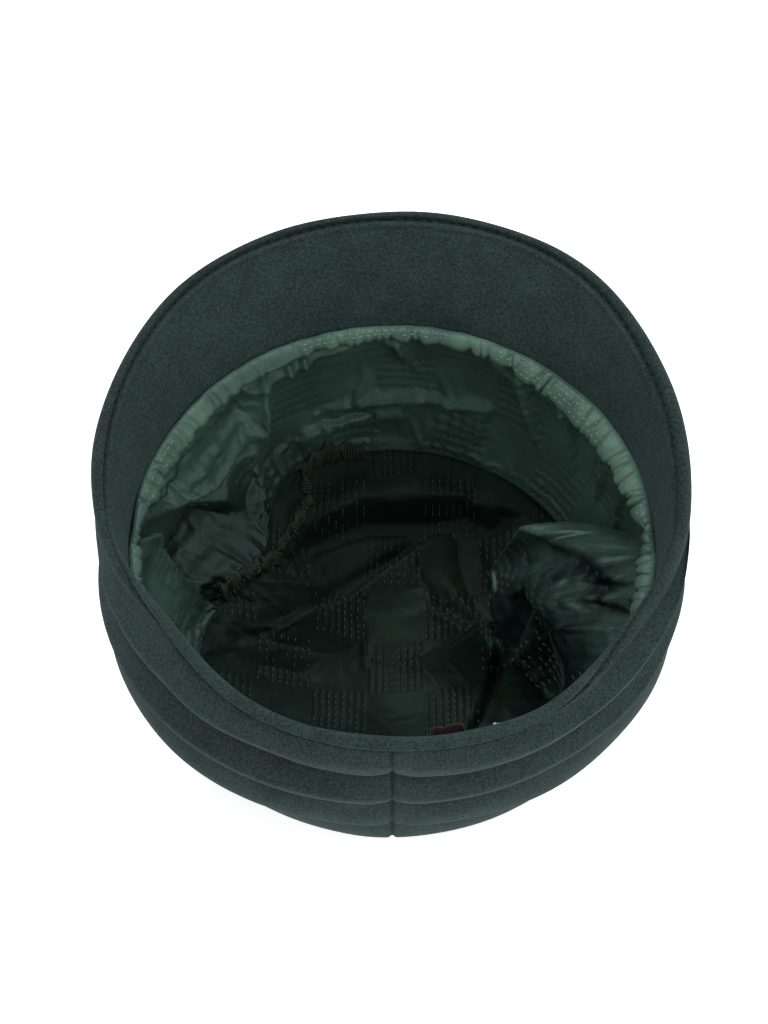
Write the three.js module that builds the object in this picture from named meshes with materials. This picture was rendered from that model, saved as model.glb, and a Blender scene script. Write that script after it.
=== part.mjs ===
// A soft cloche hat of boiled wool, lying on the flattened top of its crown with the opening up.
// Millimetres, +Z up, the wide front of the brim toward +Y, the centre-back seam toward -Y.
// The origin is the centre of the flat on which the crown rests.
//
// Every section is drawn in two lengths: `out`, measured outward from the head oval, and `up`,
// measured from the head line toward the rim. Angles run from the front (0) over +X (90) to the back.

import * as THREE from 'three';

// ---- driving dimensions ------------------------------------------------------------------------

const HEAD_HALF_WIDTH = 88.5;
const HEAD_FRONT_LENGTH = 92;
const HEAD_BACK_LENGTH = 87;
const CROWN_DEPTH = 88;
const WOOL = 1.7;
const SATIN = 1.0;
const GAP = 0.3;
const TOPSTITCH_FROM_EDGE = 3.6;
const LIP_LAYERS = 3.1;
const TUCK_OVERLAP = 1.3;
const TUCK_LIFT = 0.2;
const TUCK_EASE = 1;
const FOOT_BELOW_LIP = 0.5;
const BEHIND_LIP_RISE = 1;
const EDGE_RADIUS = 2;
const EDGE_CENTRE = { out: -2.9, up: 1.4 };
const EDGE_GATHERS = 30;
const EDGE_GATHER_DEPTH = 0.3;
const EDGE_UNEVEN_GATHERS = 17;
const EDGE_UNEVEN_SHARE = 0.5;
const EDGE_UNEVEN_START = 2.3;
const FLOOR_CREASES_FROM = 0.2;
const LABEL_THICKNESS = 0.6;
const LABEL_FOOT = 3.9;
const WOOL_COLUMNS = 60;
const SATIN_COLUMNS = 66;
const EDGE_COLUMNS = 84;

// ---- tables --------------------------------------------------------------------------------------

// The rim and the lips of the three tucks as [out, up], one row for each station round the head.
const STATIONS = [
  { angle: 0, rim: [29.5, 28.2], lip1: [11, 5], lip2: [9.5, -9], lip3: [6.5, -27] },
  { angle: 30, rim: [29.8, 26.8], lip1: [11.5, 6], lip2: [10, -8.5], lip3: [6.7, -26.5] },
  { angle: 60, rim: [18.5, 26], lip1: [11.5, 8], lip2: [10.3, -7], lip3: [7.2, -25.5] },
  { angle: 90, rim: [9.5, 19.5], lip1: [10.8, 9.8], lip2: [10.2, -5.8], lip3: [8, -24] },
  { angle: 120, rim: [-0.6, 21], lip1: [9, 11.3], lip2: [10.3, -4.3], lip3: [9, -23.2] },
  { angle: 150, rim: [2.2, 26.4], lip1: [8.2, 12.4], lip2: [9.4, -3.4], lip3: [7.8, -22.4] },
  { angle: 180, rim: [3, 31], lip1: [7.2, 13.3], lip2: [8.6, -3], lip3: [6.8, -21.8] },
  { angle: 210, rim: [-0.2, 28], lip1: [6.8, 13.5], lip2: [10.4, -2.8], lip3: [9, -22.4] },
  { angle: 240, rim: [-3.2, 27.5], lip1: [7.6, 12], lip2: [11.6, -4.7], lip3: [10.6, -23.2] },
  { angle: 270, rim: [9.3, 22], lip1: [10.6, 9.9], lip2: [10.4, -5.8], lip3: [8.8, -24] },
  { angle: 300, rim: [19.5, 25.5], lip1: [11.5, 8], lip2: [10.3, -7], lip3: [7.5, -25.5] },
  { angle: 330, rim: [29.8, 25], lip1: [11.5, 6], lip2: [10, -8.5], lip3: [6.8, -26.5] },
];

// How far the brim bells out and up on its way to the rim, as shares of the rim's own place.
const BELL = { outShare: 0.3, outExtra: 1.2, upShare: 0.6 };

// The fullest place of a tier, as shares of the way from its foot down to its own lip.
const BELLY = { outShare: 0.6, upShare: 0.55, fullness: 0.5 };

// The under layer's own stations between the head line and the topstitching.
const UNDER_SHARES = [0, 0.3, 0.62, 1];

// The folded end of a tuck, from the outside round the bend and up into its shadow.
const LIP_END = [
  { out: 0, up: 1.5 },
  { out: -0.5, up: 0.3 },
  { out: -1.5, up: 0 },
  { out: -2.2, up: 0.6 },
];

// Where the plain wall of the crown starts, from the shadow of the third lip.
const WALL_START = { out: -0.3, up: -2 };

// Outer face of the crown's wool below the third lip, down to the seam of the top.
const CROWN_WALL = [
  { out: 1.6, up: -36 },
  { out: -2.4, up: -47 },
  { out: -8.5, up: -58 },
  { out: -16.5, up: -67.5 },
];

// Outer face of the crown's top, from that seam in to the edge of the resting flat.
const CROWN_TOP = [
  { out: -16.9, up: -68 },
  { out: -20.5, up: -74 },
  { out: -26.5, up: -80.5 },
  { out: -34.5, up: -85.8 },
  { out: -43, up: -CROWN_DEPTH },
];

// Visible face of the side lining as it hangs when smooth, from the gathered edge to its seam.
const LINING_WALL = [
  { out: -3, up: -1.4 },
  { out: -2, up: -8 },
  { out: -2.2, up: -16 },
  { out: -3.2, up: -25 },
  { out: -5, up: -34 },
  { out: -8, up: -43 },
  { out: -11.5, up: -50 },
  { out: -15, up: -55 },
];

// Visible face of the lining's floor: share of the way in from the seam, and its level.
const LINING_FLOOR = [
  { inward: 0, up: -55.3 },
  { inward: 0.12, up: -61 },
  { inward: 0.28, up: -68 },
  { inward: 0.48, up: -74 },
  { inward: 0.72, up: -77.5 },
  { inward: 1, up: -78.5 },
];

// Slack satin that stands inward from the wall: where, how wide in degrees, how tall, how far.
const LINING_FOLDS = [
  { angle: 85, spread: 30, up: -30, reach: 28, rise: 37, lean: 0.2 },
  { angle: 112, spread: 14, up: -16, reach: 18, rise: 9, lean: 0 },
  { angle: 55, spread: 12, up: -34, reach: 26, rise: 6, lean: 0.2 },
  { angle: 274, spread: 13, up: -16, reach: 16, rise: 15, lean: -0.6 },
  { angle: 250, spread: 13, up: -30, reach: 28, rise: 9, lean: 0.4 },
  { angle: 299, spread: 36, up: -56, reach: 36, rise: 27, lean: 0.3 },
  { angle: 22, spread: 14, up: -36, reach: 20, rise: 4, lean: -0.2 },
  { angle: 150, spread: 18, up: -34, reach: 26, rise: 7, lean: 0 },
  { angle: 205, spread: 20, up: -36, reach: 26, rise: 7, lean: 0 },
];

// Creases that lie across the lining's floor as low ridges: ends in the plane, width and height.
const FLOOR_CREASES = [
  { x0: -52, y0: -22, x1: -20, y1: 6, width: 12, rise: 4.5 },
  { x0: -34, y0: 34, x1: -14, y1: 20, width: 12, rise: 4 },
  { x0: 22, y0: -16, x1: 38, y1: -34, width: 12, rise: 4 },
  { x0: 8, y0: 34, x1: 44, y1: 30, width: 12, rise: 5 },
];

// Woven labels that stand from the gathered edge at the back: place across, size and lean inward.
const LABELS = [
  { name: 'label', across: 15.5, width: 16, height: 18, lean: 14, color: '#4a2327' },
  { name: 'size_tab', across: 30.5, width: 5, height: 14, lean: 20, color: '#d8d8d2' },
];

// ---- drawing round the head oval -------------------------------------------------------------------

function place(angle, out, up) {
  const scale = 1 + out / HEAD_HALF_WIDTH;
  const across = HEAD_HALF_WIDTH * scale * Math.sin(angle);
  const length = Math.cos(angle) > 0 ? HEAD_FRONT_LENGTH : HEAD_BACK_LENGTH;
  const along = length * scale * Math.cos(angle);
  return [across, along, CROWN_DEPTH + up];
}

// A smooth closed curve through one column of the station rows.
function station(column, angle) {
  const count = STATIONS.length;
  const turn = (angle / (2 * Math.PI)) * count + count;
  const row = Math.floor(turn);
  const f = turn - row;
  const [out, up] = [0, 1].map((k) => {
    const [p0, p1, p2, p3] = [-1, 0, 1, 2].map((step) => STATIONS[(row + step) % count][column][k]);
    return p1 + 0.5 * f * (p2 - p0 + f * (2 * p0 - 5 * p1 + 4 * p2 - p3 + f * (3 * (p1 - p2) + p3 - p0)));
  });
  return { out, up };
}

// A closed body whose section changes round the head. Each section runs clockwise, seen with `out`
// to the right and `up` upward. A section that begins and ends at the centre makes a bowl.
function sweep(sectionAt, columns, closesAtCentre = false) {
  const positions = [];
  const sections = [];
  for (let i = 0; i < columns; i += 1) {
    const angle = (2 * Math.PI * i) / columns;
    const section = sectionAt(angle);
    sections.push(section);
    section.forEach(({ out, up }) => positions.push(...place(angle, out, up)));
  }
  const rows = sections[0].length;
  const at = (i, j) => (i % columns) * rows + (j % rows);
  const strips = closesAtCentre ? rows - 1 : rows;
  const index = [];
  for (let i = 0; i < columns; i += 1) {
    for (let j = 0; j < strips; j += 1) {
      index.push(at(i, j), at(i + 1, j + 1), at(i, j + 1));
      index.push(at(i, j), at(i + 1, j), at(i + 1, j + 1));
    }
  }
  if (closesAtCentre) {
    const mean = (row) => sections.reduce((sum, section) => sum + section[row].up, 0) / columns;
    [0, rows - 1].forEach((row) => {
      const centre = positions.length / 3;
      positions.push(0, 0, CROWN_DEPTH + mean(row));
      for (let i = 0; i < columns; i += 1) {
        const edge = [at(i + 1, row), at(i, row)];
        index.push(centre, ...(row === 0 ? edge : edge.reverse()));
      }
    });
  }
  const geometry = new THREE.BufferGeometry();
  geometry.setAttribute('position', new THREE.Float32BufferAttribute(positions, 3));
  geometry.setIndex(index);
  geometry.computeVertexNormals();
  return geometry;
}

// The other face of a layer: each point moved square to the line, to the right of its direction.
function otherFace(line, thickness) {
  return line.map((point, k) => {
    const before = line[Math.max(k - 1, 0)];
    const after = line[Math.min(k + 1, line.length - 1)];
    const run = { out: after.out - before.out, up: after.up - before.up };
    const size = Math.hypot(run.out, run.up);
    return { out: point.out + (thickness * run.up) / size, up: point.up - (thickness * run.out) / size };
  });
}

// ---- brim ----------------------------------------------------------------------------------------

// Middle line between the brim's two layers, from the head line (s = 0) to the rim (s = 1).
function brimLine(angle, s) {
  const rim = station('rim', angle);
  const bell = { out: BELL.outShare * rim.out + BELL.outExtra, up: BELL.upShare * rim.up };
  const root = { out: WOOL + GAP / 2, up: 0 };
  const mix = (key) => (1 - s) ** 2 * root[key] + 2 * s * (1 - s) * bell[key] + s * s * rim[key];
  const slope = (key) => 2 * (1 - s) * (bell[key] - root[key]) + 2 * s * (rim[key] - bell[key]);
  const length = Math.hypot(slope('out'), slope('up'));
  const aim = { out: slope('out') / length, up: slope('up') / length };
  return { out: mix('out'), up: mix('up'), aim, length };
}

// A point beside the middle line: positive offsets lie toward the outside of the hat.
function besideBrim(angle, s, offset, onward = 0) {
  const { out, up, aim } = brimLine(angle, s);
  return { out: out + offset * aim.up + onward * aim.out, up: up - offset * aim.out + onward * aim.up };
}

// Where the middle line reaches a given height, from its own quadratic in s.
function brimShareAt(angle, up) {
  const share = up / station('rim', angle).up;
  const bend = 2 * BELL.upShare - 1;
  return (BELL.upShare - Math.sqrt(BELL.upShare ** 2 - bend * share)) / bend;
}

function brimShareBack(angle, distance) {
  return 1 - distance / brimLine(angle, 1).length;
}

// The under layer ends at the row of topstitching, where the outer layer rolls over the rim.
function brimUnderSection(angle) {
  const end = brimShareBack(angle, TOPSTITCH_FROM_EDGE);
  const shares = UNDER_SHARES.map((share) => share * end);
  const inner = shares.map((s) => besideBrim(angle, s, -GAP / 2 - WOOL));
  const outer = shares.map((s) => besideBrim(angle, s, -GAP / 2));
  return [...inner, ...outer.reverse()];
}

function lipEnd(lip) {
  return LIP_END.map(({ out, up }) => ({ out: lip.out + out, up: lip.up + up }));
}

function belly(foot, lip) {
  const mix = (key, share) => (1 - share) * foot[key] + share * lip[key];
  return { out: mix('out', BELLY.outShare) + BELLY.fullness, up: mix('up', BELLY.upShare) };
}

// The outer layer: over the rim, down the outside to the first lip, and back up behind the crown's edge.
function brimOuterSection(angle) {
  const lip = station('lip1', angle);
  const half = WOOL + GAP / 2;
  const start = brimShareBack(angle, TOPSTITCH_FROM_EDGE - GAP);
  const roll = [0, 45, 90, 135, 180].map((degrees) => {
    const turn = THREE.MathUtils.degToRad(degrees);
    return besideBrim(angle, 1, -half * Math.cos(turn), half * (Math.sin(turn) - 1));
  });
  const [bend, tip] = lipEnd(lip);
  const behindTuck = WOOL + 2 * GAP;
  return [
    besideBrim(angle, start, GAP),
    besideBrim(angle, start, -half),
    ...roll,
    belly(roll[roll.length - 1], lip),
    bend,
    tip,
    besideBrim(angle, brimShareAt(angle, lip.up + TUCK_LIFT), behindTuck + TUCK_EASE),
    besideBrim(angle, brimShareAt(angle, lip.up + TUCK_OVERLAP + GAP), behindTuck),
    besideBrim(angle, brimShareAt(angle, lip.up + TUCK_OVERLAP + 2 * GAP), GAP),
  ];
}

// ---- crown ---------------------------------------------------------------------------------------

// The wool behind a lip: up in its shadow, and just clear below it.
function shadow(lip) {
  const out = lip.out - LIP_LAYERS;
  return [{ out, up: lip.up + TUCK_OVERLAP }, { out, up: lip.up - FOOT_BELOW_LIP }];
}

// The crown's wool starts behind the first lip, folds into two more and runs down to the top.
function crownSideSection(angle) {
  const [lip1, lip2, lip3] = ['lip1', 'lip2', 'lip3'].map((lip) => station(lip, angle));
  const edge = brimShareAt(angle, lip1.up + TUCK_OVERLAP);
  const foot1 = besideBrim(angle, brimShareAt(angle, lip1.up - FOOT_BELOW_LIP), GAP + WOOL);
  const [start2, foot2] = shadow(lip2);
  const [start3] = shadow(lip3);
  const wallStart = { out: start3.out + WALL_START.out, up: lip3.up + WALL_START.up };
  const wallBelow = [wallStart, ...CROWN_WALL];
  const innerBelow = otherFace(wallBelow, WOOL).reverse();
  const behind = (lip) => ({ out: lip.out - LIP_LAYERS - WOOL, up: lip.up + BEHIND_LIP_RISE });
  return [
    besideBrim(angle, edge, GAP),
    besideBrim(angle, edge, GAP + WOOL),
    foot1,
    belly(foot1, lip2),
    ...lipEnd(lip2),
    start2,
    foot2,
    belly(foot2, lip3),
    ...lipEnd(lip3),
    start3,
    ...wallBelow,
    ...innerBelow,
    behind(lip3),
    behind(lip2),
    besideBrim(angle, 0, GAP),
    besideBrim(angle, edge / 2, GAP),
  ];
}

// The oval top: flat where the hat lies on it, and open toward the inside as a shallow bowl.
function crownTopSection() {
  const outer = CROWN_TOP;
  const flatCentre = { out: -HEAD_HALF_WIDTH, up: -CROWN_DEPTH };
  const inner = otherFace([...outer, flatCentre], WOOL);
  inner.pop();
  return [...inner.reverse(), ...outer];
}

// ---- lining ----------------------------------------------------------------------------------------

const bump = (x) => (Math.abs(x) < 1 ? Math.cos((Math.PI * x) / 2) ** 2 : 0);

// How far the slack satin stands inward at one place on the side lining.
function slack(angle, up) {
  const degrees = THREE.MathUtils.radToDeg(angle);
  return LINING_FOLDS.reduce((sum, fold) => {
    const centre = fold.angle + fold.lean * (up - fold.up);
    const turn = THREE.MathUtils.euclideanModulo(degrees - centre + 180, 360) - 180;
    return sum + fold.rise * bump(turn / fold.spread) * bump((up - fold.up) / fold.reach);
  }, 0);
}

function liningSideSection(angle) {
  const face = LINING_WALL.map(({ out, up }) => ({ out: out - slack(angle, up), up }));
  const back = face.map(({ out, up }) => ({ out: out + SATIN, up }));
  return [...face.reverse(), ...back];
}

// Height of the creases over one spot of the floor.
function creases(x, y) {
  return FLOOR_CREASES.reduce((sum, { x0, y0, x1, y1, width, rise }) => {
    const run = { x: x1 - x0, y: y1 - y0 };
    const size2 = run.x * run.x + run.y * run.y;
    const along = THREE.MathUtils.clamp(((x - x0) * run.x + (y - y0) * run.y) / size2, 0, 1);
    const away = Math.hypot(x - x0 - along * run.x, y - y0 - along * run.y);
    return sum + rise * bump(away / width);
  }, 0);
}

function liningTopSection(angle) {
  const seam = LINING_WALL[LINING_WALL.length - 1];
  const edge = seam.out - slack(angle, seam.up) + SATIN;
  const face = LINING_FLOOR.slice(0, -1).map(({ inward, up }) => {
    const out = edge - inward * (HEAD_HALF_WIDTH + edge);
    const [x, y] = place(angle, out, up);
    return { out, up: up + (inward > FLOOR_CREASES_FROM ? creases(x, y) : 0) };
  });
  const back = face.map(({ out, up }) => ({ out, up: up - SATIN }));
  return [...face.reverse(), ...back];
}

// The gathered tube of satin that binds the lining to the head line.
function liningEdgeSection(angle) {
  const uneven = EDGE_UNEVEN_SHARE * Math.cos(EDGE_UNEVEN_START + EDGE_UNEVEN_GATHERS * angle);
  const radius = EDGE_RADIUS + EDGE_GATHER_DEPTH * (Math.cos(EDGE_GATHERS * angle) + uneven);
  return [0, 60, 120, 180, 240, 300].map((degrees) => {
    const turn = THREE.MathUtils.degToRad(degrees);
    return {
      out: EDGE_CENTRE.out - radius * Math.cos(turn),
      up: EDGE_CENTRE.up + radius * Math.sin(turn),
    };
  });
}

// A label is a thin upright slip, its foot just above the gathered edge.
function labelSlip({ across, width, height, lean }) {
  const angle = Math.PI - Math.asin(across / HEAD_HALF_WIDTH);
  const foot = place(angle, EDGE_CENTRE.out, LABEL_FOOT);
  const slip = new THREE.BoxGeometry(width, LABEL_THICKNESS, height);
  slip.translate(0, 0, height / 2);
  slip.rotateX(THREE.MathUtils.degToRad(-lean));
  slip.rotateZ(Math.PI - angle);
  return slip.translate(...foot);
}

// ---- the hat -----------------------------------------------------------------------------------------

const hat = new THREE.Group();

function add(name, geometry, color, roughness) {
  const material = new THREE.MeshStandardMaterial({ color, roughness, metalness: 0 });
  const mesh = new THREE.Mesh(geometry, material);
  mesh.name = name;
  hat.add(mesh);
}

add('brim_outer', sweep(brimOuterSection, WOOL_COLUMNS), '#303f40', 0.95);
add('brim_under', sweep(brimUnderSection, WOOL_COLUMNS), '#2c3b3c', 0.95);
add('crown_side', sweep(crownSideSection, WOOL_COLUMNS), '#303f40', 0.95);
add('crown_top', sweep(crownTopSection, WOOL_COLUMNS, true), '#303f40', 0.95);
add('lining_side', sweep(liningSideSection, SATIN_COLUMNS), '#3f5f52', 0.4);
add('lining_top', sweep(liningTopSection, SATIN_COLUMNS, true), '#2f4a40', 0.4);
add('lining_edge', sweep(liningEdgeSection, EDGE_COLUMNS), '#4c6c60', 0.4);

LABELS.forEach((row) => add(row.name, labelSlip(row), row.color, 0.8));

export default hat;
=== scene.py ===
# A soft boiled-wool cloche that lies on its crown with the opening up: a double brim with a row of
# topstitching, a crown with three folded tucks, a gathered satin edge and a slack satin lining.
# The sections are drawn in millimetres: `out` from the head oval, `up` from the head line.

import math

import bmesh
import bpy
import numpy as np
from mathutils import Matrix, Vector
from mathutils.bvhtree import BVHTree


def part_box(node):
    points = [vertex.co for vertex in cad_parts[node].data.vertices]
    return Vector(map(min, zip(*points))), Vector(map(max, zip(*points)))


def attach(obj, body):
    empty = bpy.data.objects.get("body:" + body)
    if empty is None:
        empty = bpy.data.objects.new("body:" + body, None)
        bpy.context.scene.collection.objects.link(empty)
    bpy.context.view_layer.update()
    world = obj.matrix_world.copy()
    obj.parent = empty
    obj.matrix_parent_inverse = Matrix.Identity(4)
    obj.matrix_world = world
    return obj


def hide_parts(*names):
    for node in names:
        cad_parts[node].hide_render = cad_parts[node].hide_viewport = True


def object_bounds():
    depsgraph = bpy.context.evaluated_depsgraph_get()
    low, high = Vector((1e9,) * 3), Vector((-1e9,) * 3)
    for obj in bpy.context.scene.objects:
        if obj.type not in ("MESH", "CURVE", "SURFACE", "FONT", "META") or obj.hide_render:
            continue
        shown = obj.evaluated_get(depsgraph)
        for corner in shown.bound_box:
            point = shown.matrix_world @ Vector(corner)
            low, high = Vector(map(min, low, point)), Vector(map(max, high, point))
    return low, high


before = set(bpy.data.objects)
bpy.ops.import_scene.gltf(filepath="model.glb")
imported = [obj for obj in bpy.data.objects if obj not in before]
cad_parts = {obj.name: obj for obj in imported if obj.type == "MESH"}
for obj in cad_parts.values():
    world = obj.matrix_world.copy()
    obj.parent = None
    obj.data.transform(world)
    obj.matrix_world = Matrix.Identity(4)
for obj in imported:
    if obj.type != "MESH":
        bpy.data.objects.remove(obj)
cad_low, cad_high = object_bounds()

MM = 0.001
TAU = 2 * math.pi

# ---- sizes ---------------------------------------------------------------------------------------

HEAD_HALF_WIDTH = 88.5
HEAD_FRONT_LENGTH = 92
HEAD_BACK_LENGTH = 87
edge_low, edge_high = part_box("lining_edge")
HEAD_LINE = (edge_low[2] + edge_high[2]) / 2 / MM - 1.4

WOOL = 1.7
GAP = 0.3
RIM_HALF = 2.5
LIP_LAYERS = 3.6
SEAM_HALF = 0.12
EDGE_THICK = 1.3
SATIN = 0.5
SETTLING_FRAMES = 20
MM_PER_DEGREE = 1.545
BACK_RADIUS = 95
BELL = {"out_share": 0.3, "out_extra": 1.2, "up_share": 0.6}
BELLY = {"out_share": 0.62, "up_share": 0.6, "fullness": 0.5}

# angle, rim, lip1, lip2, lip3 as (out, up), and the topstitching's distance from the rim's crest,
# which is positive on the under side and negative on the outside.
STATIONS = [
    (0, (29.5, 28.2), (11, 5), (9.5, -9), (6.5, -27), 4.6),
    (30, (29.8, 26.8), (11.5, 6), (10, -8.5), (6.7, -26.5), 5.0),
    (60, (18.5, 26), (11.5, 8), (10.3, -7), (7.2, -25.5), 6.0),
    (90, (9.5, 19.5), (10.8, 9.8), (10.2, -5.8), (8, -24), 5.6),
    (120, (-0.6, 21), (9, 11.3), (10.3, -4.3), (9, -23.2), 0.6),
    (150, (2.2, 26.4), (8.2, 12.4), (9.4, -3.4), (7.8, -22.4), -4.2),
    (180, (3, 31), (7.2, 13.3), (8.6, -3), (6.8, -21.8), -4.6),
    (210, (-0.2, 28), (6.8, 13.5), (10.4, -2.8), (9, -22.4), -4.4),
    (240, (-3.2, 27.5), (7.6, 12), (11.6, -4.7), (10.6, -23.2), -3.6),
    (270, (9.3, 22), (10.6, 9.9), (10.4, -5.8), (8.8, -24), 4.4),
    (300, (19.5, 25.5), (11.5, 8), (10.3, -7), (7.5, -25.5), 4.8),
    (330, (29.8, 25), (11.5, 6), (10, -8.5), (6.8, -26.5), 4.8),
]
RIM, LIP1, LIP2, LIP3, SEAM = range(5)

CROWN_WALL = [(1.6, -36), (-2.4, -47), (-8.5, -58), (-16.5, -67.5)]
CROWN_TOP = [(-16.9, -68), (-20.5, -74), (-26.5, -80.5), (-34.5, -85.8), (-43, -88)]
LIP_END = [(0, 3.2), (0, 1.5), (-0.45, 0.4), (-1.5, 0), (-2.45, 0.5), (-2.9, 1.7)]
BEHIND_LIP = [(-3.05, 2.6), (-3.4, 2.9), (-3.5, 1.6), (-LIP_LAYERS - 0.1, -0.5)]
LINING_WALL = [(-2.9, 0.2), (-2.2, -8), (-2.2, -16), (-3.2, -25), (-5, -34), (-8, -43), (-11.5, -50),
               (-15, -55)]
LINING_FLOOR = [(0, -55.3), (0.12, -61), (0.28, -68), (0.48, -74), (0.72, -77.5), (1, -78.5)]

# ---- drawing -------------------------------------------------------------------------------------


def catmull(p0, p1, p2, p3, f):
    return p1 + 0.5 * f * (p2 - p0 + f * (2 * p0 - 5 * p1 + 4 * p2 - p3 + f * (3 * (p1 - p2) + p3 - p0)))


def station(column, angle):
    """One column of the stations, smoothly round the head: a point for each angle."""
    values = np.array([row[1 + column] for row in STATIONS], dtype=float)
    if values.ndim == 1:
        values = values[:, None]
    turn = np.asarray(angle) / TAU * len(values)
    row = np.floor(turn).astype(int)
    points = [values[(row + step) % len(values)] for step in (-1, 0, 1, 2)]
    return catmull(*points, (turn - row)[:, None])


def curve(points, steps=6):
    """A smooth open line through section points: rows, angles, (out, up)."""
    points = np.stack([np.broadcast_to(p, (len(angles), 2)) for p in points])
    ends = [2 * points[:1] - points[1:2], points, 2 * points[-1:] - points[-2:-1]]
    control = np.concatenate(ends)
    f = (np.arange(steps) / steps)[:, None, None]
    parts = [catmull(*(control[k + i] for i in range(4)), f) for k in range(len(points) - 1)]
    return np.concatenate(parts + [points[-1:]])


def lengths(path):
    steps = np.linalg.norm(np.diff(path, axis=0), axis=-1)
    return np.concatenate([np.zeros((1, path.shape[1])), np.cumsum(steps, axis=0)])


def walked(points):
    """The length walked along a line of points."""
    return np.concatenate([[0], np.cumsum(np.linalg.norm(np.diff(points, axis=0), axis=1))])


def resample(path, run, places):
    """The points of a line at the given lengths along it, for each angle."""
    columns = range(path.shape[1])
    found = [[np.interp(places[:, a], run[:, a], path[:, a, k]) for a in columns] for k in (0, 1)]
    return np.array(found).transpose(2, 1, 0)


def left_of(path):
    """The unit direction to the left of a line, which is the side that shows."""
    run = np.gradient(path, axis=0)
    run = run / np.maximum(np.linalg.norm(run, axis=-1, keepdims=True), 1e-9)
    return np.stack([-run[..., 1], run[..., 0]], axis=-1)


def place(angle, out, up):
    """Section points as places in metres."""
    scale = 1 + out / HEAD_HALF_WIDTH
    across = HEAD_HALF_WIDTH * scale * np.sin(angle)
    forward = head_length(np.cos(angle)) * scale * np.cos(angle)
    return np.stack([across, forward, HEAD_LINE + up], axis=-1) * MM


def crowd(count, amount):
    """Shares from 0 to 1, closer together at both ends."""
    t = np.linspace(0, 1, count)
    return t - amount * np.sin(TAU * t) / TAU


def ripple(angle, along, size, finest, pitch, seed):
    """Soft unevenness that closes round the head."""
    rng = np.random.default_rng(seed)
    total = 0
    for _ in range(9):
        turns = rng.integers(2, finest)
        slant = rng.uniform(-1, 1) * TAU / pitch
        total = total + rng.uniform(0.5, 1) * np.sin(turns * angle + slant * along + rng.uniform(0, TAU))
    return size * total / 3


def smoothstep(x, low, high):
    t = np.clip((x - low) / (high - low), 0, 1)
    return t * t * (3 - 2 * t)


def bell(x):
    return np.exp(-x * x)


def degrees_from(angle, middle):
    """How many degrees an angle lies past a middle that is given in degrees, from -180 to 180."""
    return (np.degrees(angle) - middle + 180) % 360 - 180


def head_length(y):
    return np.where(y > 0, HEAD_FRONT_LENGTH, HEAD_BACK_LENGTH)


def reach_of(x, y):
    """How far out a point of the plan lies, as a share of the head oval."""
    return np.hypot(x / HEAD_HALF_WIDTH, y / head_length(y))


# ---- meshes --------------------------------------------------------------------------------------


def cloth(name, places, size_uv, node, finish, thickness=0, fold=0.0):
    """A mesh of rows and columns of cloth at the given places; edges that meet are joined."""
    rows, columns = places.shape[:2]
    bm = bmesh.new()
    bm.loops.layers.uv.new("cloth")
    bmesh.ops.create_grid(bm, x_segments=columns - 1, y_segments=rows - 1, size=0.5, calc_uvs=True)
    table = places.tolist()
    # fold: painted shade (above 0) and painted light (below 0), kept in the mesh's fold attribute.
    folds = np.broadcast_to(fold, places.shape[:2]).tolist()
    shade = bm.verts.layers.float.new("fold")
    for vert in bm.verts:
        i = round((vert.co.x + 0.5) * (columns - 1))
        j = round((vert.co.y + 0.5) * (rows - 1))
        vert.co = table[j][i]
        vert[shade] = folds[j][i]
    layer = bm.loops.layers.uv.active
    for face in bm.faces:
        face.smooth = True
        for loop in face.loops:
            u, v = loop[layer].uv
            if len(size_uv) == 2:
                loop[layer].uv = (u * size_uv[0], v * size_uv[1])
            else:
                loop[layer].uv = size_uv[round(v * (rows - 1))][round(u * (columns - 1))]
    bmesh.ops.remove_doubles(bm, verts=bm.verts, dist=1e-7)
    bmesh.ops.recalc_face_normals(bm, faces=bm.faces)
    return piece(name, bm, node, finish, thickness)


def shown(name, data):
    """A new object in the scene."""
    obj = bpy.data.objects.new(name, data)
    bpy.context.scene.collection.objects.link(obj)
    return obj


def shown_mesh(name, bm):
    mesh = bpy.data.meshes.new(name)
    bm.to_mesh(mesh)
    bm.free()
    return shown(name, mesh)


def piece(name, bm, node, finish, thickness=0):
    """A piece of the hat: the body that it rides, the node that it replaces and its wall."""
    obj = shown_mesh(name, bm)
    obj.data.materials.append(finish)
    if thickness:
        wall = obj.modifiers.new("wall", "SOLIDIFY")
        wall.thickness = thickness * MM
        wall.offset = 0
    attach(obj, "root")
    if node:
        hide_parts(node)
    return obj


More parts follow.
